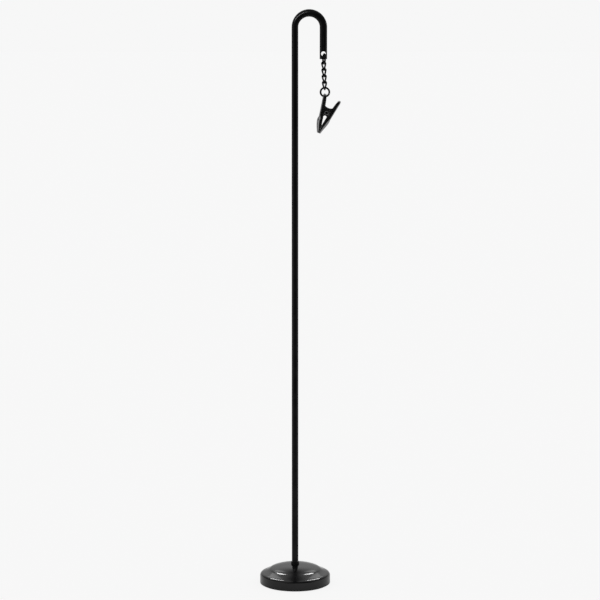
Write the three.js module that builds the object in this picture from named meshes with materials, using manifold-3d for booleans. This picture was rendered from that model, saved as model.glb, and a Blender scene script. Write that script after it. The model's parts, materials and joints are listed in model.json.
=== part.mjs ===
// A standing memo clip holder: a weighted round base, a hooked rod, a short twisted chain and a sprung clip.
// Millimetres, +Z up. The origin is the middle of the pad's underside, and the hook bends towards +X.
import * as THREE from "three";
import { mergeVertices } from "three/addons/utils/BufferGeometryUtils.js";
import Module from "manifold-3d";

const { clamp, degToRad, lerp, mapLinear, smoothstep } = THREE.MathUtils;

// Rod, hook and the eye drilled through its short leg
const standHeight = 530;
const rodDiameter = 6;
const bendRadius = 12.85; // centre line of the hook
const legLength = 28.55; // straight stretch from the bend to the cut end
const legSpread = 0.7; // the leg is pressed this much wider than the rod, across the eye
const legThinning = 0.6; // and this much thinner, along the eye
const legChamfer = 0.25;
const eyeDiameter = 4.2;
const eyeAboveEnd = 4.9;
const eyeChamfer = 0.4;

// Base cover, from its axis outwards
const baseDiameter = 65.2;
const coverWall = 1.2;
const domeHeight = 18.3; // top of the dome over the floor
const domeFlatness = 2.67; // 2 is a plain round dome, more is flatter in the middle
const domeRimRadius = 22.9;
const domeRimHeight = 14.6;
const rimRound = 2.8; // how far the rim's round reaches along each side of its corner
const creaseRadius = 25.8;
const creaseHeight = 12.3;
const shoulderRadius = 29.5; // where the flange starts to roll over
const shoulderHeight = 10.95;
const cornerHeight = 9.9; // where the flange's line would meet the skirt's
const skirtHeight = 7.6; // where the roll ends in the upright skirt
const skirtBottom = 0.7; // the skirt's lower edge over the floor

// Pad, weight and the screw that holds the rod
const padThickness = 1.2;
const screwDiameter = 4;
const screwIntoRod = 12;
const screwHeadDiameter = 7;
const screwHeadHeight = 2.8;
const socketWidth = 2.5;
const socketDepth = 1.6;
const flatWasherDiameter = 12;
const flatWasherThickness = 1;
const lockWasherDiameter = 7.4;
const lockWasherThickness = 1;
const lockWasherSlit = 0.8;
const wellMargin = 1; // round the flat washer, in the weight's underside
const wellFloor = 1.2; // under the screw's head

// Collar at the rod's foot
const collarWall = 0.6;
const collarHeight = 1.9;
const collarLip = 0.3; // flat that is left at the collar's top

// Rings and chain
const ringWire = 1.5;
const upperRingPlay = 0.6; // upper ring's bore round the leg's end
const upperRingTurn = 12; // degrees that the upper ring has turned in the eye
const chainLean = 2.4; // degrees that the chain hangs off the leg's line
const lowerRingDiameter = 9.6;
const linkCount = 4;
const linkWire = 1.4;
const linkLength = 8.9;
const linkWidth = 4.7;

// Clip, each lever measured from the pivot and from the plane between the levers
const clipLean = 21.5; // degrees from plumb, as it hangs by one lever
const hangSide = 20.4; // degrees round the lower ring from its bottom to where the clip hangs
const leverWall = 0.8;
const leverReach = 6.3; // outer face to the middle plane, at the pivot
const leverFlare = 10; // degrees that a lever spreads from the middle plane
const handleLength = 14.4;
const hangingExtra = 1.2; // more handle on the lever that hangs
const handleFlange = 4.3; // depth of a handle's side walls, at the pivot
const handleEndFlange = 2.6; // and at the handle's end
const handleHalf = 3.8; // half the width of a handle
const handleTipRound = 2.6;
const handleTipNarrowing = 0.6; // how much of that round narrows the tip
const hangingCurl = 1.6; // how far the back curls in at the handle's end
const pressCurl = 2;
const hangHoleDiameter = 2.8;
const hangHoleFromEnd = 3.1;
const jawLength = 19.5;
const jawHalf = 3.6; // half the width at the cheeks
const lipHalf = 2.7; // half the width at the lips
const lipHeight = 1.7; // one lip's height over the middle plane
const lipThickness = 1;
const cheekStart = 5.3; // where the cheek swells out of the lever
const cheekLead = 3.25; // how far the lever's line runs on into the cheek
const cheekLift = 0.85; // share of the swell that the cheek's start takes
const noseStart = 15; // where the cheek has turned towards the lips
const hangingSwell = 2.1;
const pressSwell = 1;
const cheekRound = 0.96; // share of the half width that a cheek's round takes
const jawGapStart = 3.4; // the opening behind the lips, from the pivot
const jawGapEnd = 12.3;
const jawGapHalf = 1.6;
const earTop = 4.7; // the ears round the pin, upwards and downwards from it
const earBottom = 2.65;
const earFillet = 1.3;
const earMargin = 1.8; // metal round the pin's hole
const edgeRound = 1.1; // between a lever's back and its side walls
const roundShare = 0.8; // most of a section's depth that a round may take
const leastRound = 0.15;

// Pin and spring of the clip
const pinDiameter = 2;
const pinHeadDiameter = 3.6;
const pinHeadHeight = 0.7;
const springWire = 0.7;
const springPitch = 1.16;
const springTurns = 2; // whole turns, besides the part turn between the legs
const springToe = 1.05; // bent end of a spring leg
const coilPlay = 0.5; // coil round the pin
const springSeat = 9.3; // where a spring leg bears on a handle, from the pivot

// Clearances
const seatGap = 0.2; // between pieces that are clamped or stacked
const wireGap = 0.3; // between wires that hang in each other
const runGap = 0.12; // between the pin and its holes
const nestGap = 0.3; // between the levers' ears, and beside the coil
const threadGap = 0.2; // round the screw

// Facets
const baseSides = 36;
const domeSteps = 8;
const outlineSteps = 4;
const rodSides = 20;
const bendSteps = 20;
const ringSteps = 28;
const wireSides = 8;
const linkSteps = 28;
const linkSides = 6;
const springSides = 5;
const springStepsPerTurn = 8;
const smallSides = 20;
const collarSteps = 4;
const rivetSteps = 4;
const roundSteps = 4;
const jawSteps = 9;
const jawLineSteps = 40;
const handleSteps = 3;

const rodRadius = rodDiameter / 2;
const eyeRadius = eyeDiameter / 2;
const legHalf = (rodDiameter + legSpread) / 2;
const legDepth = (rodDiameter - legThinning) / 2; // half the leg's thickness
const bendHeight = standHeight - legHalf - bendRadius;
const legX = 2 * bendRadius;
const legEnd = bendHeight - legLength;
const eyeHeight = legEnd + eyeAboveEnd;

const wasm = await Module();
wasm.setup();

function finish(color, roughness, metalness) {
  return new THREE.MeshStandardMaterial({ color, roughness, metalness });
}

const glossBlack = finish(0x0c0c0d, 0.28, 0.0);
const satinBlack = finish(0x0b0b0c, 0.38, 0.0);
const blackPlate = finish(0x161617, 0.34, 0.8);
const castIron = finish(0x3a3936, 0.8, 0.6);
const zincPlate = finish(0x9a9da0, 0.4, 0.9);
const springSteel = finish(0x4a4b4d, 0.35, 0.9);
const blackFoam = finish(0x101010, 0.95, 0.0);

// Keep positions alone, with each corner stored once, so that the surface is closed.
function closed(geometry) {
  const bare = new THREE.BufferGeometry();
  bare.setAttribute("position", geometry.getAttribute("position").clone());
  if (geometry.index) bare.setIndex(geometry.index.clone());
  return mergeVertices(bare, 1e-4);
}

function solid(geometry) {
  const merged = closed(geometry);
  return new wasm.Manifold(
    new wasm.Mesh({
      numProp: 3,
      vertProperties: merged.getAttribute("position").array,
      triVerts: new Uint32Array(merged.index.array),
    }),
  );
}

function geometryOf(body) {
  const mesh = body.getMesh();
  const geometry = new THREE.BufferGeometry();
  geometry.setAttribute("position", new THREE.BufferAttribute(mesh.vertProperties, 3));
  geometry.setIndex(new THREE.BufferAttribute(mesh.triVerts, 1));
  return geometry;
}

function piece(name, geometry, material) {
  const mesh = new THREE.Mesh(geometry, material);
  mesh.name = name;
  return mesh;
}

// Revolve a profile of [radius, height] pairs about Z. The profile runs up its outer side.
function revolve(profile, sides) {
  const points = profile.map(([r, z]) => new THREE.Vector2(r, z));
  return new THREE.LatheGeometry(points, sides).rotateX(Math.PI / 2);
}

// A pin along Y, such as a hole's cutter or a rivet, from a profile of [radius, y] pairs.
function revolveAcross(profile, sides) {
  const points = profile.map(([r, y]) => new THREE.Vector2(r, y));
  return new THREE.LatheGeometry(points, sides);
}

// Triangles across a flat ring of points, wound the same way as the ring.
function cap(ring) {
  const normal = new THREE.Vector3();
  ring.forEach((point, i) => {
    const next = ring[(i + 1) % ring.length];
    normal.add(point.clone().sub(ring[0]).cross(next.clone().sub(ring[0])));
  });
  const across = ring[1].clone().sub(ring[0]).normalize();
  const up = normal.normalize().cross(across);
  const flat = ring.map((point) => new THREE.Vector2(point.dot(across), point.dot(up)));
  return THREE.ShapeUtils.triangulateShape(flat, []);
}

// Skin a row of flat rings that have equally many points, and close off both ends.
function loft(rings) {
  const count = rings[0].length;
  const index = [];
  for (let k = 0; k + 1 < rings.length; k += 1) {
    for (let i = 0; i < count; i += 1) {
      const a = k * count + i;
      const b = k * count + ((i + 1) % count);
      index.push(a, b, a + count, b, b + count, a + count);
    }
  }
  const last = (rings.length - 1) * count;
  for (const [a, b, c] of cap(rings[0])) index.push(a, c, b);
  for (const [a, b, c] of cap(rings[rings.length - 1])) index.push(last + a, last + b, last + c);
  const geometry = new THREE.BufferGeometry().setFromPoints(rings.flat());
  geometry.setIndex(index);
  return geometry;
}

// Turn every face of a geometry round.
function reversed(geometry) {
  const index = geometry.index;
  for (let i = 0; i < index.count; i += 3) {
    const second = index.getX(i + 1);
    index.setX(i + 1, index.getX(i + 2));
    index.setX(i + 2, second);
  }
  return geometry;
}

// Base

function domeAt(radius) {
  return domeHeight - (domeHeight - domeRimHeight) * (radius / domeRimRadius) ** domeFlatness;
}

// The cover's outer side from the axis to the skirt's top, as [radius, height] pairs.
function coverOutline() {
  const rimStart = domeRimRadius - rimRound;
  const drop = new THREE.Vector2(creaseRadius - domeRimRadius, creaseHeight - domeRimHeight);
  const step = drop.clone().setLength(Math.min(rimRound, drop.length() / 2));
  const path = new THREE.Path();
  path.moveTo(rimStart, domeAt(rimStart));
  path.quadraticCurveTo(domeRimRadius, domeRimHeight, domeRimRadius + step.x, domeRimHeight + step.y);
  path.quadraticCurveTo(creaseRadius, creaseHeight, shoulderRadius, shoulderHeight);
  path.quadraticCurveTo(baseDiameter / 2, cornerHeight, baseDiameter / 2, skirtHeight);
  const dome = spread(0, rimStart, domeSteps).map((radius) => [radius, domeAt(radius)]);
  return [...dome, ...path.getPoints(outlineSteps).map((p) => [p.x, p.y])];
}

// The same outline moved inwards by a distance, along the normal at each point.
function inset(outline, distance) {
  return outline.map(([r, z], i) => {
    const before = outline[Math.max(i - 1, 0)];
    const after = outline[Math.min(i + 1, outline.length - 1)];
    const run = Math.hypot(after[0] - before[0], after[1] - before[1]);
    const across = (before[1] - after[1]) / run;
    const up = (after[0] - before[0]) / run;
    const radius = i === 0 ? 0 : r - across * distance;
    return [radius, z - up * distance];
  });
}

const weightBottom = padThickness + seatGap;
const outline = coverOutline();
const screwHole = screwDiameter / 2 + threadGap;

// The stretch of an outline outside a radius, starting on that radius.
function outside(line, radius) {
  const first = line.findIndex(([r]) => r > radius);
  return [[radius, line[first][1]], ...line.slice(first)];
}

function baseCover() {
  const outer = outside(outline, screwHole);
  const inner = outside(inset(outline, coverWall), screwHole);
  const top = [...outer].reverse();
  const skirtInside = [baseDiameter / 2 - coverWall, skirtBottom];
  return revolve([skirtInside, [baseDiameter / 2, skirtBottom], ...top, ...inner, skirtInside], baseSides);
}

// The cast weight fills the cover. A well in its underside takes the screw's head and washers.
function baseWeight() {
  const fill = outside(inset(outline, coverWall + seatGap), screwHole);
  const rim = fill[fill.length - 1][0];
  const wellRadius = flatWasherDiameter / 2 + wellMargin;
  const top = [...fill].reverse();
  const under = [
    [screwHole, wellCeiling],
    [wellRadius, wellCeiling],
    [wellRadius, weightBottom],
  ];
  return revolve([[wellRadius, weightBottom], [rim, weightBottom], ...top, ...under], baseSides);
}

const headBottom = weightBottom + wellFloor;
const headTop = headBottom + screwHeadHeight;
const lockBottom = headTop + seatGap;
const flatBottom = lockBottom + lockWasherThickness + seatGap;
const wellCeiling = flatBottom + flatWasherThickness + seatGap;
const rodFoot = domeHeight + seatGap;

// The pad lies in the skirt's mouth and stands a little out of it.
function basePad() {
  const radius = baseDiameter / 2 - coverWall - seatGap;
  return revolve([[0, 0], [radius, 0], [radius, padThickness], [0, padThickness]], baseSides);
}

function washer(diameter, thickness, bottom) {
  const bore = screwHole;
  const outer = diameter / 2;
  const top = bottom + thickness;
  return revolve([[bore, bottom], [outer, bottom], [outer, top], [bore, top], [bore, bottom]], smallSides);
}

// A spring washer is cut through on one side.
function lockWasher() {
  const ring = solid(washer(lockWasherDiameter, lockWasherThickness, lockBottom));
  const slit = new THREE.BoxGeometry(lockWasherDiameter, lockWasherSlit, 2 * lockWasherThickness);
  slit.translate(lockWasherDiameter / 2, 0, lockBottom + lockWasherThickness / 2);
  return geometryOf(ring.subtract(solid(slit)));
}

// A cap screw from below, with a six-sided socket in its head.
function baseScrew() {
  const shank = screwDiameter / 2;
  const head = screwHeadDiameter / 2;
  const tip = rodFoot + screwIntoRod;
  const profile = [
    [0, headBottom],
    [head, headBottom],
    [head, headTop],
    [shank, headTop],
    [shank, tip],
    [0, tip],
  ];
  const corner = socketWidth / Math.sqrt(3);
  const socket = new THREE.CylinderGeometry(corner, corner, 2 * socketDepth, 6);
  socket.rotateX(Math.PI / 2).translate(0, 0, headBottom);
  return geometryOf(solid(revolve(profile, smallSides)).subtract(solid(socket)));
}

// A low ferrule that hides the joint between the rod and the dome.
function footCollar() {
  const bore = rodRadius + seatGap;
  const foot = bore + collarWall;
  const top = rodFoot + collarHeight;
  const shoulder = new THREE.QuadraticBezierCurve(
    new THREE.Vector2(foot, rodFoot + collarHeight / 2),
    new THREE.Vector2(foot, top),
    new THREE.Vector2(bore + collarLip, top),
  );
  const side = shoulder.getPoints(collarSteps).map((p) => [p.x, p.y]);
  return revolve([[bore, rodFoot], [foot, rodFoot], ...side, [bore, top], [bore, rodFoot]], smallSides);
}

// Rod

// A ring of points round the rod's centre line where the hook has bent by an angle. The section is round
// where the bend starts and pressed from the bend's top on.
function rodRing(angle, height, trim) {
  const pressed = smoothstep(angle, 0, Math.PI / 2);
  const wide = lerp(rodRadius, legHalf, pressed) - trim;
  const deep = lerp(rodRadius, legDepth, pressed) - trim;
  const centre = new THREE.Vector3(
    bendRadius - bendRadius * Math.cos(angle),
    0,
    bendHeight + bendRadius * Math.sin(angle) + height,
  );
  const across = new THREE.Vector3(-Math.cos(angle), 0, Math.sin(angle));
  const ring = [];
  for (let i = 0; i < rodSides; i += 1) {
    const turn = (2 * Math.PI * i) / rodSides;
    const point = across.clone().multiplyScalar(wide * Math.cos(turn));
    point.y = -deep * Math.sin(turn);
    ring.push(point.add(centre));
  }
  return ring;
}

// The eye's drill, with a countersink at each side of the leg.
function eyeCutter() {
  const reach = rodDiameter;
  const flare = eyeRadius + eyeChamfer + reach - legDepth;
  const profile = [
    [0, -reach],
    [flare, -reach],
    [eyeRadius, eyeChamfer - legDepth],
    [eyeRadius, legDepth - eyeChamfer],
    [flare, reach],
    [0, reach],
  ];
  return revolveAcross(profile, smallSides).translate(legX, 0, eyeHeight);
}

function pole() {
  const rings = [rodRing(0, rodFoot - bendHeight, 0)];
  for (let k = 0; k <= bendSteps; k += 1) rings.push(rodRing((Math.PI * k) / bendSteps, 0, 0));
  rings.push(rodRing(Math.PI, legChamfer - legLength, 0));
  rings.push(rodRing(Math.PI, -legLength, legChamfer));
  const depth = screwIntoRod + screwDiameter / 2;
  const tapped = revolve(
    [
      [0, rodFoot - depth],
      [screwHole, rodFoot - depth],
      [screwHole, rodFoot + depth],
      [0, rodFoot + depth + screwHole / 2],
    ],
    smallSides,
  );
  return geometryOf(solid(loft(rings)).subtract(solid(eyeCutter())).subtract(solid(tapped)));
}

// Rings and chain. In the chain's own frame the eye is the origin and Z runs up along the chain.

// The upper ring goes round the metal below the eye and bears on the eye's two lower edges.
const webHeight = eyeAboveEnd - eyeRadius;
const upperRingBore = Math.hypot(legDepth, webHeight / 2) + upperRingPlay;
const upperRingRadius = upperRingBore + ringWire / 2;
const lowerRingRadius = (lowerRingDiameter - ringWire) / 2;

// Height of a ring's middle when its bore rests on a point this far out and this high.
function restOn(out, height) {
  return height - Math.sqrt((upperRingBore - wireGap / 2) ** 2 - out ** 2);
}

const upperRingHeight = Math.max(
  restOn(legDepth, -eyeRadius - eyeChamfer),
  restOn(legDepth - eyeChamfer, -eyeRadius),
);

const linkSpan = linkLength - linkWire; // centre line, top to bottom
const linkPitch = linkSpan - linkWire - wireGap;
const firstLinkTop = upperRingHeight - upperRingRadius + (ringWire + linkWire) / 2 + wireGap;
const lastLinkBottom = firstLinkTop - (linkCount - 1) * linkPitch - linkSpan;
const lowerRingTop = lastLinkBottom + (ringWire + linkWire) / 2 + wireGap;
const lowerRingHeight = lowerRingTop - lowerRingRadius;

// An oval of wire, twisted a quarter turn from its top bend to its bottom bend.
class TwistedOval extends THREE.Curve {
  getPoint(t, target = new THREE.Vector3()) {
    const bend = (linkWidth - linkWire) / 2;
    const straight = linkSpan - 2 * bend;
    const half = straight + Math.PI * bend; // one straight side and one bend
    const flip = t > 0.5 ? -1 : 1;
    const along = 2 * half * t - (t > 0.5 ? half : 0);
    const turn = Math.max(along - straight, 0) / bend;
    const out = flip * bend * Math.cos(turn);
    const high = flip * (straight / 2 - Math.min(along, straight) - bend * Math.sin(turn));
    const twist = (Math.PI / 2) * (0.5 - high / linkSpan);
    return target.set(out * Math.cos(twist), out * Math.sin(twist), high);
  }
}

function chainLink(k) {
  const middle = firstLinkTop - linkSpan / 2 - k * linkPitch;
  const loop = new THREE.TubeGeometry(new TwistedOval(), linkSteps, linkWire / 2, linkSides, true);
  return closed(loop.translate(0, 0, middle));
}

function upperRing() {
  const ring = new THREE.TorusGeometry(upperRingRadius, ringWire / 2, wireSides, ringSteps);
  ring.rotateY(Math.PI / 2).rotateZ(degToRad(upperRingTurn));
  return closed(ring.translate(0, 0, upperRingHeight));
}

function lowerRing() {
  const ring = new THREE.TorusGeometry(lowerRingRadius, ringWire / 2, wireSides, ringSteps);
  return closed(ring.rotateX(Math.PI / 2).translate(0, 0, lowerRingHeight));
}

// Clip. In its own frame the pivot is the origin, Y is the pin's axis, Z runs up between the handles
// and X is the distance from the middle plane, towards the press lever.

const flareSlope = Math.tan(degToRad(leverFlare));
const coilRadius = pinDiameter / 2 + coilPlay + springWire / 2;
const coilHalf = (springPitch * (springTurns + 0.5) + springWire) / 2;
const innerEar = coilHalf + nestGap + leverWall; // half the width over the press lever's ears
const outerEar = innerEar + nestGap + leverWall; // half the width over the hanging lever's ears
const earReach = pinDiameter / 2 + earMargin;
const lipGap = wireGap / 2;

// Outer line of a jaw from its cheek to its lip, as points of height and distance from the middle plane.
function jawLine(swell) {
  const start = leverReach - flareSlope * cheekStart;
  const curve = new THREE.CubicBezierCurve(
    new THREE.Vector2(-cheekStart, start),
    new THREE.Vector2(-cheekStart - cheekLead, start + swell * cheekLift),
    new THREE.Vector2(-noseStart, lipHeight + swell),
    new THREE.Vector2(-jawLength, lipHeight),
  );
  return curve.getPoints(jawLineSteps);
}

const hanging = {
  side: -1,
  end: handleLength + hangingExtra,
  waist: outerEar,
  curl: hangingCurl,
  jaw: jawLine(hangingSwell),
};
const press = {
  side: 1,
  end: handleLength,
  waist: innerEar,
  curl: pressCurl,
  jaw: jawLine(pressSwell),
};

// Outer face's distance from the middle plane at a height along the lever, without the curl at its end.
function crest(lever, z) {
  if (z >= -cheekStart) return leverReach + flareSlope * z;
  const k = Math.max(1, lever.jaw.findIndex((p) => p.x <= z));
  const a = lever.jaw[k - 1];
  const b = lever.jaw[k];
  return mapLinear(z, a.x, b.x, a.y, b.y);
}

// How far a lever's back has curled in, close to its handle's end.
function endCurl(lever, z) {
  const along = Math.max(1 - (lever.end - z) / handleTipRound, 0);
  return lever.curl * (1 - Math.sqrt(1 - along ** 2));
}

function earEnd(z) {
  return z > 0 ? earTop : earBottom;
}

// Side wall's inner edge, without the ear: along the handle, and closing to the lips in the jaw.
function plainEdge(lever, z) {
  if (z >= 0) return crest(lever, z) - lerp(handleFlange, handleEndFlange, z / lever.end);
  const closing = clamp((-z - jawGapStart) / (jawGapEnd - jawGapStart), 0, 1);
  return lerp(jawGapHalf, lipGap, closing);
}

// Side wall's inner edge with the round ear that carries the pin.
function edge(lever, z) {
  const off = Math.abs(z) / earEnd(z);
  if (off <= 1) return -earReach * Math.sqrt(1 - off ** 2);
  const rise = Math.min((Math.abs(z) - earEnd(z)) / earFillet, 1);
  return plainEdge(lever, z) * Math.sqrt(1 - (1 - rise) ** 2);
}

// Half the lever's width: its waist at the ears, the handle with its rounded end, and the tapering jaw.
function halfWidth(lever, z) {
  const widening = earEnd(z) + earFillet;
  const fade = smoothstep(Math.abs(z), widening, 2 * widening);
  if (z < 0) return lerp(lever.waist, mapLinear(z, -cheekStart, -jawLength, jawHalf, lipHalf), fade);
  const left = Math.min((lever.end - z) / handleTipRound, 1);
  const tip = handleTipRound * (1 - Math.sqrt(1 - (1 - left) ** 2));
  return lerp(lever.waist, handleHalf, fade) - handleTipNarrowing * tip;
}

// Points of one side of the channel's wall in (X, Y), from one edge over the back to the other edge.
function channelSide(half, back, edgeX, round, depth) {
  const points = [[edgeX, -half]];
  for (const end of [-1, 1]) {
    for (let i = 0; i <= roundSteps; i += 1) {
      const share = end < 0 ? i / roundSteps : 1 - i / roundSteps;
      const turn = (Math.PI / 2) * share;
      points.push([back - depth * (1 - Math.sin(turn)), end * (half - round * (1 - Math.cos(turn)))]);
    }
  }
  points.push([edgeX, half]);
  return points;
}

// Section of a lever's channel at one height: its outer side and its inner side.
function leverSection(lever, z) {
  const half = halfWidth(lever, z);
  const back = crest(lever, z) - endCurl(lever, z);
  const edgeX = Math.min(edge(lever, z), back - leverWall - leastRound);
  const cheek = smoothstep(-z, cheekStart - earFillet, cheekStart + 2 * earFillet);
  const round = lerp(edgeRound, half * cheekRound, cheek);
  const depth = Math.min(round, roundShare * (back - edgeX));
  const innerRound = Math.max(round - leverWall, leastRound);
  const innerMost = roundShare * (back - leverWall - edgeX);
  const innerDepth = Math.min(Math.max(depth - leverWall / 2, leastRound), innerMost);
  return {
    outer: channelSide(half, back, edgeX, round, depth),
    inner: channelSide(half - leverWall, back - leverWall, edgeX, innerRound, innerDepth),
  };
}

function ringAt(points, z, side) {
  return points.map(([x, y]) => new THREE.Vector3(side * x, y, z));
}

// Evenly spaced heights from one end, without the other end.
function spread(from, to, count) {
  return Array.from({ length: count }, (_, i) => lerp(from, to, i / count));
}

// Shares from 0 to 1 that lie closer together towards 1, for a round that turns steeper.
function eased(count) {
  return Array.from({ length: count + 1 }, (_, i) => Math.sin((Math.PI / 2) * (i / count)));
}

// Heights, counted from the pivot, at which one end of the ears and its fillet are drawn.
function earHeights(end) {
  const ear = eased(roundSteps).map((share) => end * share);
  const fillet = eased(roundSteps).map((share) => end + earFillet * (1 - share));
  return [...ear, ...fillet];
}

// Heights at which a lever's section is drawn, from its lips to its handle's end.
function leverHeights(lever) {
  const tipStart = lever.end - handleTipRound;
  const heights = [
    ...spread(-jawLength, -earBottom - earFillet, jawSteps),
    ...earHeights(earBottom).map((h) => -h),
    ...earHeights(earTop),
    ...spread(earTop + earFillet, tipStart, handleSteps),
    ...eased(roundSteps).map((share) => tipStart + handleTipRound * share),
  ];
  return [...new Set(heights)].sort((a, b) => a - b);
}

// A lever's channel with the lip that closes its jaw's end, and the pin's hole.
function clipLever(lever) {
  const channel = leverHeights(lever).map((z) => {
    const { outer, inner } = leverSection(lever, z);
    return ringAt([...outer, ...inner.reverse()], z, lever.side);
  });
  const lip = [-jawLength, lipThickness - jawLength].map((z) => {
    return ringAt(leverSection(lever, z).outer, z, lever.side);
  });
  const shapes = [loft(channel), loft(lip)].map((g) => solid(lever.side < 0 ? reversed(g) : g));
  const reach = 2 * outerEar;
  const pinHole = pinDiameter / 2 + runGap;
  const bore = revolveAcross([[0, -reach], [pinHole, -reach], [pinHole, reach], [0, reach]], smallSides);
  return shapes[0].add(shapes[1]).subtract(solid(bore));
}

// Middle of the hole that the hanging lever hangs by, on the middle of its back's thickness.
const hangHoleZ = hanging.end - hangHoleFromEnd;
const hangHoleX = -(crest(hanging, hangHoleZ) - leverWall / 2);

function hangingJaw() {
  const radius = hangHoleDiameter / 2;
  const cutter = new THREE.CylinderGeometry(radius, radius, 4 * leverWall, smallSides);
  cutter.rotateZ(Math.PI / 2).rotateY(degToRad(-leverFlare));
  cutter.translate(hangHoleX, 0, hangHoleZ);
  return geometryOf(clipLever(hanging).subtract(solid(cutter)));
}

function pressJaw() {
  return geometryOf(clipLever(press));
}

// A rivet with a low domed head on each side.
function pivotPin() {
  const shank = pinDiameter / 2;
  const under = outerEar + runGap;
  const head = new THREE.QuadraticBezierCurve(
    new THREE.Vector2(pinHeadDiameter / 2, under),
    new THREE.Vector2(pinHeadDiameter / 2 - pinHeadHeight / 4, under + pinHeadHeight),
    new THREE.Vector2(0, under + pinHeadHeight),
  );
  const upper = [[shank, under], ...head.getPoints(rivetSteps).map((p) => [p.x, p.y])];
  const lower = upper.map(([r, y]) => [r, -y]).reverse();
  return revolveAcross([...lower, ...upper], smallSides);
}

// Centre line of the torsion spring: a leg on each handle and a close coil round the pin between them.
function springLine() {
  const normal = new THREE.Vector2(1, -flareSlope).normalize();
  const seat = new THREE.Vector2(crest(press, springSeat) - leverWall, springSeat);
  const tip = seat.clone().addScaledVector(normal, -nestGap);
  const knee = tip.clone().addScaledVector(normal, -springToe);
  const legLean = Math.atan2(knee.x, knee.y) - Math.asin(coilRadius / knee.length());
  const sweep = springTurns * 2 * Math.PI + Math.PI - 2 * legLean;
  const steps = Math.round((sweep / (2 * Math.PI)) * springStepsPerTurn);
  const offset = (springPitch * sweep) / (4 * Math.PI);
  const points = [new THREE.Vector3(tip.x, offset, tip.y), new THREE.Vector3(knee.x, offset, knee.y)];
  for (let i = 0; i <= steps; i += 1) {
    const turn = -legLean - (sweep * i) / steps;
    const y = offset - (2 * offset * i) / steps;
    points.push(new THREE.Vector3(coilRadius * Math.cos(turn), y, coilRadius * Math.sin(turn)));
  }
  points.push(new THREE.Vector3(-knee.x, -offset, knee.y), new THREE.Vector3(-tip.x, -offset, tip.y));
  return points;
}

// Least gap between stretches of a wire that aren't neighbours along it.
function leastGap(points, wire, apart) {
  let least = Infinity;
  for (let i = 0; i < points.length; i += 1) {
    for (let j = i + apart; j < points.length; j += 1) {
      least = Math.min(least, points[i].distanceTo(points[j]) - wire);
    }
  }
  return least;
}

// Rings of a wire that follows the points, with a mitre at each.
function tube(points, radius, sides) {
  const rings = [];
  let side = new THREE.Vector3(0, 1, 0);
  points.forEach((point, i) => {
    const ahead = points[Math.min(i + 1, points.length - 1)].clone().sub(point).normalize();
    const behind = point.clone().sub(points[Math.max(i - 1, 0)]).normalize();
    const along = ahead.clone().add(behind).normalize();
    side = side.clone().addScaledVector(along, -side.dot(along)).normalize();
    const other = along.clone().cross(side);
    const ring = [];
    for (let k = 0; k < sides; k += 1) {
      const turn = (2 * Math.PI * k) / sides;
      const spoke = side.clone().multiplyScalar(radius * Math.cos(turn));
      ring.push(spoke.addScaledVector(other, radius * Math.sin(turn)).add(point));
    }
    rings.push(ring);
  });
  return rings;
}

function torsionSpring() {
  const points = springLine();
  const gap = leastGap(points, springWire, springStepsPerTurn / 2);
  console.log("torsion_spring: least gap to itself", gap.toFixed(2), "mm");
  return loft(tube(points, springWire / 2, springSides));
}

const chain = new THREE.Group();
chain.position.set(legX, 0, eyeHeight);
chain.rotation.y = -degToRad(chainLean);
chain.updateMatrix();

// Where the lower ring's wire carries the clip.
function hangPlace() {
  const side = degToRad(hangSide);
  const place = new THREE.Vector3(0, 0, lowerRingHeight).applyMatrix4(chain.matrix);
  place.x -= lowerRingRadius * Math.sin(side);
  place.z -= lowerRingRadius * Math.cos(side);
  return place;
}

// The clip hangs with the top of the hole on the lower ring's wire.
function clipPlace() {
  const lean = degToRad(clipLean);
  const flare = degToRad(leverFlare);
  const slack = (hangHoleDiameter - ringWire) / 2 - wireGap;
  const wireAt = new THREE.Vector3(hangHoleX, 0, hangHoleZ);
  wireAt.x -= slack * Math.sin(flare);
  wireAt.z += slack * Math.cos(flare);
  wireAt.applyAxisAngle(new THREE.Vector3(0, 1, 0), lean);
  return { lean, pivot: hangPlace().sub(wireAt) };
}

const stand = new THREE.Group();
stand.add(piece("base_pad", basePad(), blackFoam));
stand.add(piece("base_weight", baseWeight(), castIron));
stand.add(piece("base_cover", baseCover(), glossBlack));
stand.add(piece("base_screw", baseScrew(), zincPlate));
stand.add(piece("lock_washer", lockWasher(), zincPlate));
stand.add(piece("flat_washer", washer(flatWasherDiameter, flatWasherThickness, flatBottom), zincPlate));
stand.add(piece("foot_collar", footCollar(), satinBlack));
stand.add(piece("pole", pole(), satinBlack));

chain.add(piece("upper_ring", upperRing(), blackPlate));
for (let k = 0; k < linkCount; k += 1) chain.add(piece(`chain_link_${k + 1}`, chainLink(k), blackPlate));
chain.add(piece("lower_ring", lowerRing(), blackPlate));
stand.add(chain);

const clip = new THREE.Group();
const { lean, pivot } = clipPlace();
clip.position.copy(pivot);
clip.rotation.y = lean;
clip.add(piece("hanging_jaw", hangingJaw(), blackPlate));
clip.add(piece("press_jaw", pressJaw(), blackPlate));
clip.add(piece("pivot_pin", pivotPin(), blackPlate));
clip.add(piece("torsion_spring", torsionSpring(), springSteel));
stand.add(clip);

export default stand;
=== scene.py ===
import bpy
import json
import math
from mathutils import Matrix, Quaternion, Vector

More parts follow.
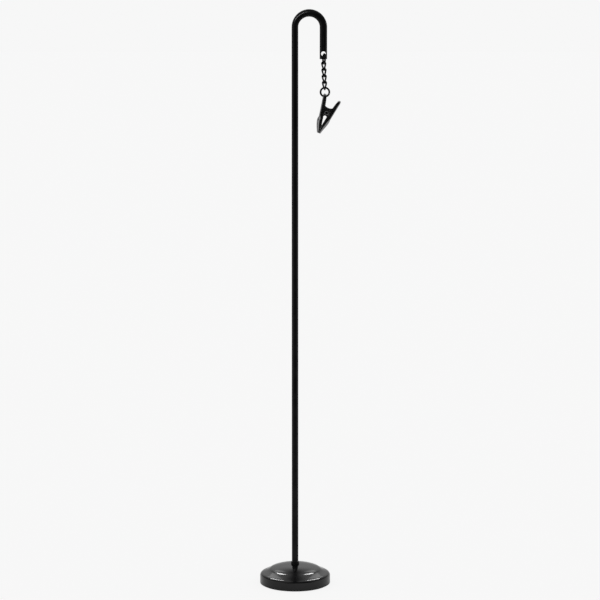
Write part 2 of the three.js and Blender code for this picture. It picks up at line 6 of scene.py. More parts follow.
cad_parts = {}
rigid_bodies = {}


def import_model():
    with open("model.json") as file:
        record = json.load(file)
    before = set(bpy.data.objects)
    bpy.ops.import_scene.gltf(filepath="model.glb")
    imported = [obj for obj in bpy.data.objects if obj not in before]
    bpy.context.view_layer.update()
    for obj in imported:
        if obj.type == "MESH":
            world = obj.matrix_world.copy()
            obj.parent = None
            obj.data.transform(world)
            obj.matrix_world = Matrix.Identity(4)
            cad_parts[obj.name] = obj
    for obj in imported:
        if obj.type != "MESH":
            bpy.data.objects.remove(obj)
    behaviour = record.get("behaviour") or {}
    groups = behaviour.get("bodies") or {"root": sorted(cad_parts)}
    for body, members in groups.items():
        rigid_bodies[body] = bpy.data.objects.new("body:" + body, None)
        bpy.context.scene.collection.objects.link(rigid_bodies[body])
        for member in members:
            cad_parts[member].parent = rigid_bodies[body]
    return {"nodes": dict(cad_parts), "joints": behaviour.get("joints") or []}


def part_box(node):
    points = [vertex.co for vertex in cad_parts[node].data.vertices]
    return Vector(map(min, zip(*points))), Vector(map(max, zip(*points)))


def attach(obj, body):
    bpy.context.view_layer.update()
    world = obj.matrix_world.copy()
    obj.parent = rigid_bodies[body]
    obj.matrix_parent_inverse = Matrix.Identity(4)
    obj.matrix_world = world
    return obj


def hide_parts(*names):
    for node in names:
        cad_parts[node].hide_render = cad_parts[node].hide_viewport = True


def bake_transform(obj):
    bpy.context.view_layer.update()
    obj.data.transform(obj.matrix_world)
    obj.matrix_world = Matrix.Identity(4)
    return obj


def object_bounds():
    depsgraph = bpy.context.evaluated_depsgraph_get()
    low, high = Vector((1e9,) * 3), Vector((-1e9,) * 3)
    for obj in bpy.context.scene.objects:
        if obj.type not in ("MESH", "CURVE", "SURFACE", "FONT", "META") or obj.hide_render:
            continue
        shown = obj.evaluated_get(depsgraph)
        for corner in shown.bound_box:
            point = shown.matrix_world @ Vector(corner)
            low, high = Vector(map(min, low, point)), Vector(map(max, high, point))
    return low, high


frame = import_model()
cadLow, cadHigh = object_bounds()
cadNodes = frame["nodes"]
scene = bpy.context.scene
mm = 0.001
sameSpot = 1e-6  # vertices closer than this are one
alongY = (math.pi / 2, 0, 0)  # turns what was spun about Z onto Y


# small helpers, the way one would click through it by hand

def clearSelection():
    if bpy.context.object is not None and bpy.context.object.mode != "OBJECT":
        bpy.ops.object.mode_set(mode="OBJECT")
    bpy.ops.object.select_all(action="DESELECT")


def pick(obj):
    clearSelection()
    obj.select_set(True)
    bpy.context.view_layer.objects.active = obj


def editMode(obj, wanted):
    # edit mode with just the wanted vertices selected
    pick(obj)
    bpy.ops.object.mode_set(mode="EDIT")
    bpy.ops.mesh.select_mode(type="VERT")
    bpy.ops.mesh.select_all(action="DESELECT")
    bpy.ops.object.mode_set(mode="OBJECT")
    for vertex in obj.data.vertices:
        vertex.select = wanted(vertex.co)
    bpy.ops.object.mode_set(mode="EDIT")


def everything(co):
    return True


def objectMode():
    bpy.ops.object.mode_set(mode="OBJECT")


def cleanMesh(obj):
    editMode(obj, everything)
    bpy.ops.mesh.remove_doubles(threshold=sameSpot)
    bpy.ops.mesh.normals_make_consistent(inside=False)
    objectMode()


def bakePlace(obj):
    pick(obj)
    bpy.ops.object.transform_apply(location=True, rotation=True, scale=True)


def setPlace(obj, turned, at=(0, 0, 0)):
    obj.rotation_euler = turned
    obj.location = at
    bakePlace(obj)


def applyModifiers(obj):
    pick(obj)
    for modifier in list(obj.modifiers):
        bpy.ops.object.modifier_apply(modifier=modifier.name)


def smoothShade(obj, angle):
    pick(obj)
    bpy.ops.object.shade_smooth_by_angle(angle=math.radians(angle))


def cutWith(obj, cutter):
    cut = obj.modifiers.new("cut", "BOOLEAN")
    cut.operation = "DIFFERENCE"
    cut.solver = "EXACT"
    cut.object = cutter
    applyModifiers(obj)
    pick(cutter)
    bpy.ops.object.delete()


def pullBy(offset):
    bpy.ops.mesh.extrude_region_move(TRANSFORM_OT_translate={"value": offset})


def drawnLine(name, points):
    # one vertex, extruded from point to point
    clearSelection()
    bpy.ops.mesh.primitive_plane_add(size=1)
    obj = bpy.context.object
    obj.name = name
    bpy.ops.object.mode_set(mode="EDIT")
    bpy.ops.mesh.select_all(action="SELECT")
    bpy.ops.mesh.merge(type="CENTER")
    bpy.ops.transform.translate(value=points[0])
    for a, b in zip(points, points[1:]):
        pullBy(Vector(b) - Vector(a))
    objectMode()
    return obj


def turnedPiece(name, profile, steps):
    # a profile of (radius, height) pairs, spun about Z
    obj = drawnLine(name, [(r * mm, 0, z * mm) for r, z in profile])
    editMode(obj, everything)
    bpy.ops.mesh.spin(steps=steps, angle=2 * math.pi, center=(0, 0, 0), axis=(0, 0, 1))
    objectMode()
    cleanMesh(obj)
    return obj


def wireDisc(name, radius, sides, at):
    # the cut end of a wire or bar, lying flat, ready to be pulled along
    clearSelection()
    bpy.ops.mesh.primitive_circle_add(vertices=sides, radius=radius * mm, fill_type="NGON",
                                      location=Vector(at) * mm)
    obj = bpy.context.object
    obj.name = name
    bakePlace(obj)
    return obj


def drillLine(radius, half, reach):
    # profile of a drill that also breaks the edges of its hole, at half the wall's thickness either way
    wide = radius + reach - half
    return [(0, -reach), (wide, -reach), (radius, -half), (radius, half), (wide, reach), (0, reach)]


def dress(obj, finish, slotName, *replaced):
    obj.data.materials.clear()
    obj.data.materials.append(finish)
    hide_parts(*replaced)


def arcPoints(centre, radii, start, stop, steps):
    points = []
    for i in range(steps + 1):
        a = math.radians(start + (stop - start) * i / steps)
        points.append((centre[0] + radii[0] * math.cos(a), centre[1] + radii[1] * math.sin(a)))
    return points


def curvePoints(p0, p1, p2, steps):
    points = []
    for i in range(steps + 1):
        t = i / steps
        points.append(tuple((1 - t) ** 2 * a + 2 * t * (1 - t) * b + t * t * c for a, b, c in zip(p0, p1, p2)))
    return points


def between(a, b, t):
    return a + (b - a) * t


def easeStep(x, low, high):
    t = min(max((x - low) / (high - low), 0), 1)
    return t * t * (3 - 2 * t)


def nodeMiddle(node):
    low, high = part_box(node)
    return (low + high) / 2 / mm


def nodeSize(node):
    low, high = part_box(node)
    return (high - low) / mm


def jointPlace(name):
    found = [joint for joint in frame["joints"] if joint["name"] == name]
    return Vector(found[0]["pos_m"]) / mm


# finishes

# where the noise turns from dark to light and from smooth to rough, and what counts as a worn edge
finishShape = {"tone": (0.35, 0.65), "sheen": (0.3, 0.7), "sharp": (0.53, 0.62), "patch": (0.42, 0.6), "patchScale": 3,
               "detail": 3, "grainDetail": 2, "grainDepth": 0.0001}
even = (1, 1, 1)


def addNoise(tree, scale, detail, stretch):
    place = tree.nodes.new("ShaderNodeTexCoord")
    mapping = tree.nodes.new("ShaderNodeMapping")
    mapping.inputs["Scale"].default_value = stretch
    noise = tree.nodes.new("ShaderNodeTexNoise")
    noise.inputs["Scale"].default_value = scale
    noise.inputs["Detail"].default_value = detail
    tree.links.new(place.outputs["Object"], mapping.inputs["Vector"])
    tree.links.new(mapping.outputs["Vector"], noise.inputs["Vector"])
    return noise


def addRange(tree, source, fromPair, toPair):
    spread = tree.nodes.new("ShaderNodeMapRange")
    spread.inputs["From Min"].default_value = fromPair[0]
    spread.inputs["From Max"].default_value = fromPair[1]
    spread.inputs["To Min"].default_value = toPair[0]
    spread.inputs["To Max"].default_value = toPair[1]
    tree.links.new(source, spread.inputs["Value"])
    return spread


def addColours(tree, source, dark, light):
    ramp = tree.nodes.new("ShaderNodeValToRGB")
    for stop, position, colour in zip(ramp.color_ramp.elements, finishShape["tone"], (dark, light)):
        stop.position = position
        stop.color = (*colour, 1)
    tree.links.new(source, ramp.inputs["Fac"])
    return ramp


def addWear(tree, tone, look):
    # the finish is rubbed a little thinner along sharp edges, in patches
    edges = tree.nodes.new("ShaderNodeNewGeometry")
    sharp = addRange(tree, edges.outputs["Pointiness"], finishShape["sharp"], (0, look["wear"]))
    patches = addNoise(tree, finishShape["patchScale"] * look["cloud"], finishShape["detail"], even)
    patchy = addRange(tree, patches.outputs["Fac"], finishShape["patch"], (0, 1))
    amount = tree.nodes.new("ShaderNodeMath")
    amount.operation = "MULTIPLY"
    tree.links.new(sharp.outputs["Result"], amount.inputs[0])
    tree.links.new(patchy.outputs["Result"], amount.inputs[1])
    mixed = tree.nodes.new("ShaderNodeMix")
    mixed.data_type = "RGBA"
    mixed.inputs["B"].default_value = (*look["bare"], 1)
    tree.links.new(amount.outputs["Value"], mixed.inputs["Factor"])
    tree.links.new(tone.outputs["Color"], mixed.inputs["A"])
    return mixed


def makeFinish(name, look):
    finish = bpy.data.materials.new(name)
    finish.use_nodes = True
    tree = finish.node_tree
    shader = tree.nodes["Principled BSDF"]
    cloud = addNoise(tree, look["cloud"], finishShape["detail"], look["stretch"])
    tone = addColours(tree, cloud.outputs["Fac"], look["dark"], look["light"])
    worn = addWear(tree, tone, look)
    tree.links.new(worn.outputs["Result"], shader.inputs["Base Color"])
    sheen = addRange(tree, cloud.outputs["Fac"], finishShape["sheen"], look["roughness"])
    tree.links.new(sheen.outputs["Result"], shader.inputs["Roughness"])
    grain = addNoise(tree, look["grainScale"], finishShape["grainDetail"], look["stretch"])
    bump = tree.nodes.new("ShaderNodeBump")
    bump.inputs["Strength"].default_value = look["grain"]
    bump.inputs["Distance"].default_value = finishShape["grainDepth"]
    tree.links.new(grain.outputs["Fac"], bump.inputs["Height"])
    tree.links.new(bump.outputs["Normal"], shader.inputs["Normal"])
    shader.inputs["Metallic"].default_value = look["metal"]
    shader.inputs["Specular IOR Level"].default_value = look["gloss"]
    return finish


# stoved gloss black with a trace of orange peel
glossLook = {"dark": (0.002, 0.002, 0.0022), "light": (0.004, 0.004, 0.0043), "roughness": (0.11, 0.14),
             "cloud": 45, "stretch": even, "grainScale": 500, "grain": 0.0015, "metal": 0.0, "gloss": 0.36,
             "wear": 0.3, "bare": (0.02, 0.02, 0.021)}
# the rod's paint is flatter
satinLook = {"dark": (0.0025, 0.0025, 0.0027), "light": (0.005, 0.005, 0.0053), "roughness": (0.2, 0.26),
             "cloud": 60, "stretch": (1, 1, 0.25), "grainScale": 900, "grain": 0.002, "metal": 0.0, "gloss": 0.1,
             "wear": 0.4, "bare": (0.03, 0.03, 0.031)}
# blackened wire
chainLook = {"dark": (0.002, 0.002, 0.0023), "light": (0.005, 0.005, 0.0054), "roughness": (0.4, 0.55),
             "cloud": 500, "stretch": even, "grainScale": 3000, "grain": 0.02, "metal": 0.0, "gloss": 0.06,
             "wear": 0.4, "bare": (0.05, 0.05, 0.052)}
# black nickel on the stamped levers, with fine rolling marks
clipLook = {"dark": (0.21, 0.21, 0.213), "light": (0.28, 0.28, 0.284), "roughness": (0.1, 0.16),
            "cloud": 420, "stretch": (1, 1, 0.3), "grainScale": 2600, "grain": 0.03, "metal": 1.0, "gloss": 0.5,
            "wear": 0.6, "bare": (0.42, 0.42, 0.426)}
zincLook = {"dark": (0.5, 0.51, 0.53), "light": (0.62, 0.63, 0.65), "roughness": (0.35, 0.5),
            "cloud": 900, "stretch": even, "grainScale": 4000, "grain": 0.05, "metal": 1.0, "gloss": 0.5,
            "wear": 0.4, "bare": (0.7, 0.7, 0.71)}
springLook = {"dark": (0.2, 0.2, 0.21), "light": (0.28, 0.28, 0.29), "roughness": (0.25, 0.38),
              "cloud": 900, "stretch": even, "grainScale": 4000, "grain": 0.04, "metal": 1.0, "gloss": 0.5,
              "wear": 0.3, "bare": (0.5, 0.5, 0.51)}
# rough casting
ironLook = {"dark": (0.05, 0.049, 0.046), "light": (0.11, 0.107, 0.1), "roughness": (0.7, 0.9),
            "cloud": 300, "stretch": even, "grainScale": 1200, "grain": 0.6, "metal": 0.5, "gloss": 0.4,
            "wear": 0.4, "bare": (0.2, 0.19, 0.18)}
# foam rubber
foamLook = {"dark": (0.012, 0.012, 0.012), "light": (0.03, 0.03, 0.03), "roughness": (0.85, 0.98),
            "cloud": 700, "stretch": even, "grainScale": 2500, "grain": 0.9, "metal": 0.0, "gloss": 0.2,
            "wear": 0.3, "bare": (0.05, 0.05, 0.05)}

glossBlack = makeFinish("glossBlackPaint", glossLook)
satinBlack = makeFinish("satinBlackPaint", satinLook)
chainBlack = makeFinish("blackenedWire", chainLook)
clipBlack = makeFinish("blackNickel", clipLook)
zincPlate = makeFinish("zincPlate", zincLook)
springSteel = makeFinish("springWire", springLook)
castIron = makeFinish("castIron", ironLook)
padFoam = makeFinish("padFoam", foamLook)
print("finishes ready")


# base

coverShape = {"radius": 32.6, "wall": 1.2, "top": 18.3, "flatness": 2.67, "rimRadius": 22.9, "rimHeight": 14.6,
              "rimRound": 1.4, "creaseRadius": 25.8, "creaseHeight": 12.3, "shoulderRadius": 29.5,
              "shoulderHeight": 10.95, "cornerHeight": 9.9, "skirtHeight": 7.6, "bottom": 0.7, "hem": 0.35,
              "hole": 2.2, "domeSteps": 36, "rimSteps": 8, "creaseSteps": 10, "cornerSteps": 14, "hemSteps": 4,
              "steps": 160, "smooth": 40}


def coverOutline(s):
    line = []
    for i in range(s["domeSteps"] + 1):
        r = (s["rimRadius"] - s["rimRound"]) * i / s["domeSteps"]
        line.append((r, s["top"] - (s["top"] - s["rimHeight"]) * (r / s["rimRadius"]) ** s["flatness"]))
    drop = Vector((s["creaseRadius"] - s["rimRadius"], s["creaseHeight"] - s["rimHeight"]))
    step = drop.normalized() * min(s["rimRound"], drop.length / 2)
    below = (s["rimRadius"] + step.x, s["rimHeight"] + step.y)
    line += curvePoints(line[-1], (s["rimRadius"], s["rimHeight"]), below, s["rimSteps"])[1:]
    shoulder = (s["shoulderRadius"], s["shoulderHeight"])
    line += curvePoints(below, (s["creaseRadius"], s["creaseHeight"]), shoulder, s["creaseSteps"])[1:]
    skirt = (s["radius"], s["skirtHeight"])
    line += curvePoints(shoulder, (s["radius"], s["cornerHeight"]), skirt, s["cornerSteps"])[1:]
    return line


def insetLine(line, distance):
    moved = []
    for i, (r, z) in enumerate(line):
        a, b = line[max(i - 1, 0)], line[min(i + 1, len(line) - 1)]
        run = math.hypot(b[0] - a[0], b[1] - a[1])
        moved.append((r - (a[1] - b[1]) / run * distance, z - (b[0] - a[0]) / run * distance))
    return moved


def buildCover(s):
    outer = coverOutline(s)
    inner = [p for p in insetLine(outer, s["wall"]) if p[0] > s["hole"]]
    outer = [p for p in outer if p[0] > s["hole"]]
    outer = [(s["hole"], s["top"])] + outer
    inner = [(s["hole"], s["top"] - s["wall"])] + inner
    hemCentre = (s["radius"] - s["hem"], s["bottom"] + s["hem"])
    hem = arcPoints(hemCentre, (s["hem"], s["hem"]), 0, -90, s["hemSteps"])
    line = outer + hem + [(s["radius"] - s["wall"], s["bottom"])] + inner[::-1] + [outer[0]]
    cover = turnedPiece("coverShell", line, s["steps"])
    smoothShade(cover, s["smooth"])
    dress(cover, glossBlack, "base_paint", "base_cover")
    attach(cover, "stand")


buildCover(coverShape)

padShape = {"radius": 31.2, "thick": 1.2, "round": 0.3, "roundSteps": 4, "steps": 128, "smooth": 40}


def buildPad(s):
    edge, radii = s["radius"] - s["round"], (s["round"], s["round"])
    low = arcPoints((edge, s["round"]), radii, -90, 0, s["roundSteps"])
    high = arcPoints((edge, s["thick"] - s["round"]), radii, 0, 90, s["roundSteps"])
    pad = turnedPiece("softPad", [(0, 0)] + low + high + [(0, s["thick"])], s["steps"])
    smoothShade(pad, s["smooth"])
    dress(pad, padFoam, "pad_foam", "base_pad")
    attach(pad, "stand")


buildPad(padShape)

collarShape = {"bore": 3.05, "foot": 3.8, "lip": 0.45, "height": 2.1, "sunk": 0.15, "chamfer": 0.1, "sideSteps": 12,
               "steps": 64, "smooth": 40}


def buildCollar(s):
    bottom = coverShape["top"] - s["sunk"]
    top = coverShape["top"] + s["height"]
    lip = (s["bore"] + s["lip"], top)
    side = curvePoints((s["foot"], bottom + s["height"] / 2), (s["foot"], top), lip, s["sideSteps"])
    inside = [(s["bore"], top - s["chamfer"]), (s["bore"], bottom)]
    line = [(s["bore"], bottom), (s["foot"], bottom)] + side + inside
    collar = turnedPiece("footCollar", line, s["steps"])
    smoothShade(collar, s["smooth"])
    dress(collar, satinBlack, "rod_paint", "foot_collar")
    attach(collar, "stand")


buildCollar(collarShape)
print("base ready")


# rod with its hook

rodShape = {"radius": 3.0, "sides": 64, "sunk": 0.05, "bend": 12.85, "bendSteps": 72, "leg": 28.55, "legHalf": 3.35,
            "legDepth": 2.7, "endRound": 0.25, "endSteps": 3, "eyeAbove": 4.9, "eyeRadius": 2.1, "eyeChamfer": 0.4,
            "eyeSteps": 64, "screwHole": 2.2, "screwDepth": 14.0, "screwPoint": 1.1, "screwStart": 2, "screwSteps": 48,
            "smooth": 30}


def pressLeg(rod, s, bendHeight):
    # from the bend's top on the bar is pressed a little flat
    for vertex in rod.data.vertices:
        x, z = vertex.co.x / mm - s["bend"], vertex.co.z / mm - bendHeight
        out = math.hypot(x, max(z, 0))
        turn = math.atan2(max(z, 0), -x)
        pressed = easeStep(turn, 0, math.pi / 2)
        grown = s["bend"] + (out - s["bend"]) * between(1, s["legHalf"] / s["radius"], pressed)
        vertex.co.x = (s["bend"] + x * grown / out) * mm
        vertex.co.y *= between(1, s["legDepth"] / s["radius"], pressed)
        if z > 0:
            vertex.co.z = (bendHeight + z * grown / out) * mm


def drillEye(rod, s, legEnd):
    line = drillLine(s["eyeRadius"], s["legDepth"] - s["eyeChamfer"], 2 * s["radius"])
    drill = turnedPiece("eyeDrill", line, s["eyeSteps"])
    setPlace(drill, alongY, (2 * s["bend"] * mm, 0, (legEnd + s["eyeAbove"]) * mm))
    cutWith(rod, drill)


def tapFoot(rod, s, foot):
    # the hole for the screw, with the drill's point at its end
    line = [(0, -s["screwStart"]), (s["screwHole"], -s["screwStart"]), (s["screwHole"], s["screwDepth"]),
            (0, s["screwDepth"] + s["screwPoint"])]
    cutWith(rod, turnedPiece("tappingDrill", [(r, foot + z) for r, z in line], s["screwSteps"]))


def buildRod(s):
    foot = coverShape["top"] - s["sunk"]
    bendHeight = cadHigh.z / mm - s["legHalf"] - s["bend"]
    legEnd = bendHeight - s["leg"]
    rod = wireDisc("hookedRod", s["radius"], s["sides"], (0, 0, foot))
    editMode(rod, everything)
    pullBy((0, 0, (bendHeight - foot) * mm))
    bpy.ops.mesh.spin(steps=s["bendSteps"], angle=math.pi, center=(s["bend"] * mm, 0, bendHeight * mm),
                      axis=(0, -1, 0))
    pullBy((0, 0, -s["leg"] * mm))
    objectMode()
    cleanMesh(rod)
    editMode(rod, lambda co: co.x > s["bend"] * mm and abs(co.z - legEnd * mm) < sameSpot)
    bpy.ops.mesh.bevel(offset=s["endRound"] * mm, segments=s["endSteps"], affect="EDGES")
    objectMode()
    pressLeg(rod, s, bendHeight)
    drillEye(rod, s, legEnd)
    tapFoot(rod, s, foot)
    smoothShade(rod, s["smooth"])
    dress(rod, satinBlack, "rod_paint", "pole")
    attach(rod, "stand")


buildRod(rodShape)
print("rod ready")


# rings and chain

hung = jointPlace("lower_ring_swing") - jointPlace("upper_ring_swing")
chainLean = math.atan2(hung.x, -hung.z)

ringShape = {"wire": 1.7, "seam": 1.6, "steps": 96, "sides": 20, "smooth": 50}
upperRing = {"turned": 102, "seamAt": 30, "lean": 5, "aside": 0.4}
lowerRing = {"turned": 0, "seamAt": 20, "lean": 0, "aside": 0}


def buildRing(name, node, place, s):
    # a jump ring bent round from wire, its two ends nearly meeting
    radius = (nodeSize(node).z - s["wire"]) / 2
    ring = wireDisc(name, s["wire"] / 2, s["sides"], (radius, 0, 0))
    editMode(ring, everything)
    bpy.ops.mesh.spin(steps=s["steps"], angle=math.radians(360 - s["seam"]), center=(0, 0, 0), axis=(0, 1, 0))
    objectMode()
    cleanMesh(ring)
    setPlace(ring, (0, math.radians(place["seamAt"]), 0))
    setPlace(ring, (0, 0, math.radians(place["turned"])))
    middle = nodeMiddle(node) + Vector((place["aside"], 0, 0))
    setPlace(ring, (0, math.radians(place["lean"]) - chainLean, 0), middle * mm)
    smoothShade(ring, s["smooth"])
    dress(ring, chainBlack, "chain_plate", node)
    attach(ring, node)


buildRing("upperJumpRing", "upper_ring", upperRing, ringShape)
buildRing("lowerJumpRing", "lower_ring", lowerRing, ringShape)

linkShape = {"wire": 1.6, "width": 5.0, "length": 8.9, "count": 4, "sides": 18, "straightSteps": 8, "bendSteps": 20,
             "smooth": 60}


def bendLink(s):
    # one oval of wire, then a quarter twist
    bend = (s["width"] - s["wire"]) / 2
    straight = s["length"] - s["wire"] - 2 * bend
    link = wireDisc("chainLink", s["wire"] / 2, s["sides"], (-bend, 0, -straight / 2))
    editMode(link, everything)
    rise = straight / s["straightSteps"] * mm
    for side in (1, -1):
        for i in range(s["straightSteps"]):
            pullBy((0, 0, side * rise))
        centre = (0, 0, side * straight / 2 * mm)
        bpy.ops.mesh.spin(steps=s["bendSteps"], angle=math.pi, center=centre, axis=(0, -1, 0))
    bpy.ops.mesh.delete(type="FACE")
    objectMode()
    editMode(link, lambda co: co.x < 0 and abs(co.z + straight / 2 * mm) < sameSpot)
    bpy.ops.mesh.delete(type="ONLY_FACE")
    objectMode()
    cleanMesh(link)
    twist = link.modifiers.new("twist", "SIMPLE_DEFORM")
    twist.deform_method = "TWIST"
    twist.deform_axis = "Z"
    twist.angle = -math.pi / 2 * s["length"] / (s["length"] - s["wire"])
    applyModifiers(link)
    setPlace(link, (0, 0, math.pi / 4))
    smoothShade(link, s["smooth"])
    return link


def buildChain(s):
    pattern = bendLink(s)
    for k in range(1, s["count"] + 1):
        node = "chain_link_%d" % k
        pick(pattern)
        bpy.ops.object.duplicate()
        link = bpy.context.object
        link.name = "twistedLink%d" % k
        setPlace(link, (0, -chainLean, 0), nodeMiddle(node) * mm)
        dress(link, chainBlack, "chain_plate", node)
        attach(link, node)
    pick(pattern)
    bpy.ops.object.delete()


buildChain(linkShape)
print("chain ready")


# clip: two stamped levers on a rivet, with a wound spring between them. In the clip's own directions x is the
# distance from the plane between the levers, y runs along the rivet and z up between the handles

clipShape = {"lean": 21.5, "wall": 0.8, "reach": 6.3, "flare": 10, "handleHalf": 3.8, "tipRound": 2.6,
             "tipNarrowing": 0.6, "jaw": 19.5, "jawHalf": 3.6, "lipHalf": 2.7, "lipHeight": 1.7, "lipThick": 1.0,
             "lipGap": 0.04, "cheekStart": 5.3, "cheekLead": 3.25, "cheekLift": 0.85, "cheekRound": 0.96,
             "nose": 15.0, "gapStart": 3.4, "gapEnd": 12.3, "gapHalf": 1.6, "earTop": 4.7, "earBottom": 2.65,
             "earFillet": 1.3, "earReach": 2.8, "edgeRound": 1.1, "rimRound": 0.2, "leastRound": 0.15,
             "share": 0.8, "pinHole": 1.12, "hangHole": 1.4, "hangFromEnd": 3.1, "hangReach": 1.2,
             "countersink": 0.12, "jawSteps": 44, "earSteps": 10, "handleSteps": 14, "roundSteps": 9,
             "flatSteps": 4, "rimSteps": 3, "drillSteps": 48, "smooth": 40}
hangingLever = {"side": -1, "hangs": True, "end": 15.6, "waist": 4.0, "flange": 4.0, "endFlange": 2.7,
                "curl": 1.0, "swell": 2.1}
pressLever = {"side": 1, "hangs": False, "end": 14.4, "waist": 2.9, "flange": 3.9, "endFlange": 1.9,
              "curl": 1.1, "swell": 1.0}
pivot = jointPlace("jaw_open")


def clipPoint(x, y, z):
    lean = math.radians(clipShape["lean"])
    return Vector((pivot.x + x * math.cos(lean) + z * math.sin(lean), pivot.y + y,
                   pivot.z - x * math.sin(lean) + z * math.cos(lean))) * mm


def leverBack(s, z):
    return s["reach"] + math.tan(math.radians(s["flare"])) * z


def jawPoint(s, lever, t):
    # height and back of the jaw, from the cheek at 0 to the lips at 1
    start = leverBack(s, -s["cheekStart"])
    heights = (-s["cheekStart"], -s["cheekStart"] - s["cheekLead"], -s["nose"], -s["jaw"])
    backs = (start, start + lever["swell"] * s["cheekLift"], s["lipHeight"] + lever["swell"], s["lipHeight"])
    shares = ((1 - t) ** 3, 3 * t * (1 - t) ** 2, 3 * t * t * (1 - t), t ** 3)
    return sum(a * b for a, b in zip(shares, heights)), sum(a * b for a, b in zip(shares, backs))


def leverRows(s, lever):
    # heights and backs at which the lever is drawn, from the lips to the handle's end
    rows = [jawPoint(s, lever, 1 - i / s["jawSteps"]) for i in range(s["jawSteps"] + 1)]
    n = s["earSteps"]
    eased = [math.sin(math.pi / 2 * i / n) for i in range(n + 1)]
    heights = [-s["earBottom"] - s["earFillet"] * (1 - e) for e in eased]
    heights += [-s["earBottom"] * e for e in eased[::-1][1:]]
    heights += [s["earTop"] * e for e in eased[1:]]
    heights += [s["earTop"] + s["earFillet"] * (1 - e) for e in eased[::-1][1:]]
    tipStart = lever["end"] - s["tipRound"]
    for i in range(1, s["handleSteps"] + 1):
        heights.append(between(s["earTop"] + s["earFillet"], tipStart, i / s["handleSteps"]))
    heights += [tipStart + s["tipRound"] * e for e in eased[1:]]
    for z in heights:
        along = max(1 - (lever["end"] - z) / s["tipRound"], 0)
        rows.append((z, leverBack(s, z) - lever["curl"] * (1 - math.sqrt(1 - along * along))))
    return rows


def leverEdge(s, lever, z):
    # inner edge of the side walls: a round ear at the rivet, the handle's flange, which narrows in a curve, and
    # closing to the lips in the jaw
    ear = s["earTop"] if z > 0 else s["earBottom"]
    off = abs(z) / ear
    if off <= 1:
        return -s["earReach"] * math.sqrt(1 - off * off)
    rise = min((abs(z) - ear) / s["earFillet"], 1)
    if z > 0:
        left = math.sqrt(max(1 - (z / lever["end"]) ** 2, 0))
        plain = leverBack(s, z) - between(lever["endFlange"], lever["flange"], left)
    else:
        closing = min(max((-z - s["gapStart"]) / (s["gapEnd"] - s["gapStart"]), 0), 1)
        plain = between(s["gapHalf"], s["lipGap"], closing)
    return plain * math.sqrt(1 - (1 - rise) ** 2)


def leverHalf(s, lever, z):
    # half the width: the waist at the ears, the handle with its rounded end, the tapering jaw
    widening = (s["earTop"] if z > 0 else s["earBottom"]) + s["earFillet"]
    fade = easeStep(abs(z), widening, 2 * widening)
    if z < 0:
        down = (-z - s["cheekStart"]) / (s["jaw"] - s["cheekStart"])
        return between(lever["waist"], between(s["jawHalf"], s["lipHalf"], down), fade)
    left = min((lever["end"] - z) / s["tipRound"], 1)
    tip = s["tipRound"] * (1 - math.sqrt(1 - (1 - left) ** 2))
    return between(lever["waist"], s["handleHalf"], fade) - s["tipNarrowing"] * tip


def archLine(s, edge, back, half, wide, deep):
    # half of a channel's side in (x, y): flank, round corner and flat back
    line = [(between(edge, back - deep, i / s["flatSteps"]), half) for i in range(s["flatSteps"])]
    for i in range(s["roundSteps"] + 1):
        turn = math.pi / 2 * i / s["roundSteps"]
        line.append((back - deep * (1 - math.sin(turn)), half - wide * (1 - math.cos(turn))))
    line += [(back, between(half - wide, 0, i / s["flatSteps"])) for i in range(1, s["flatSteps"] + 1)]
    return line


def leverRing(s, lever, z, back, filled):
    wall = s["wall"]
    half = leverHalf(s, lever, z)
    edge = min(leverEdge(s, lever, z), back - wall - s["leastRound"])
    cheek = easeStep(-z, s["cheekStart"] - s["earFillet"], s["cheekStart"] + 2 * s["earFillet"])
    wide = between(s["edgeRound"], half * s["cheekRound"], cheek)
    deep = min(wide, s["share"] * (back - edge))
    inWide = max(wide - wall, s["leastRound"])
    inDeep = min(max(deep - wall / 2, s["leastRound"]), s["share"] * (back - wall - edge))
    rim = min(s["rimRound"], (1 - s["share"]) * (back - wall - edge))
    outer = archLine(s, edge + rim, back, half, wide, deep)
    inner = archLine(s, edge + rim, back - wall, half - wall, inWide, inDeep)
    if filled:
        inner = [(edge, y) for x, y in inner]
    inBow = arcPoints((edge + rim, half - wall + rim), (rim, rim), 270, 180, s["rimSteps"])
    outBow = arcPoints((edge + rim, half - rim), (rim, rim), 180, 90, s["rimSteps"])
    # from the inner middle round the rim to the outer middle
    right = inner[::-1] + inBow[1:] + outBow[:-1] + outer
    left = [(x, -y) for x, y in right[::-1]]
    return [clipPoint(lever["side"] * x, y, z) for x, y in right + left[1:-1]]


def skinLever(name, rings):
    # rows of a grid are laid on the lever's sections
    columns, rows = len(rings[0]), len(rings) - 1
    clearSelection()
    bpy.ops.mesh.primitive_grid_add(x_subdivisions=columns, y_subdivisions=rows, size=1)
    obj = bpy.context.object
    obj.name = name
    for vertex in obj.data.vertices:
        column = round((vertex.co.x + 0.5) * columns)
        row = round((vertex.co.y + 0.5) * rows)
        vertex.co = rings[row][column % columns]
    cleanMesh(obj)
    editMode(obj, everything)
    bpy.ops.mesh.fill_holes(sides=0)
    bpy.ops.mesh.normals_make_consistent(inside=False)
    objectMode()
    return obj


def pinDrill(s):
    reach = 2 * s["handleHalf"]
    line = [(0, -reach), (s["pinHole"], -reach), (s["pinHole"], reach), (0, reach)]
    drill = turnedPiece("pinDrill", line, s["drillSteps"])
    setPlace(drill, alongY, pivot * mm)
    return drill


def hangDrill(s, lever):
    # for the hole that the clip hangs by, its edges just broken
    line = drillLine(s["hangHole"], s["wall"] / 2 - s["countersink"], s["hangReach"])
    drill = turnedPiece("hangDrill", line, s["drillSteps"])
    z = lever["end"] - s["hangFromEnd"]
    middle = clipPoint(lever["side"] * (leverBack(s, z) - s["wall"] / 2), 0, z)
    setPlace(drill, (0, math.radians(90 + s["lean"] - s["flare"]), 0), middle)
    return drill


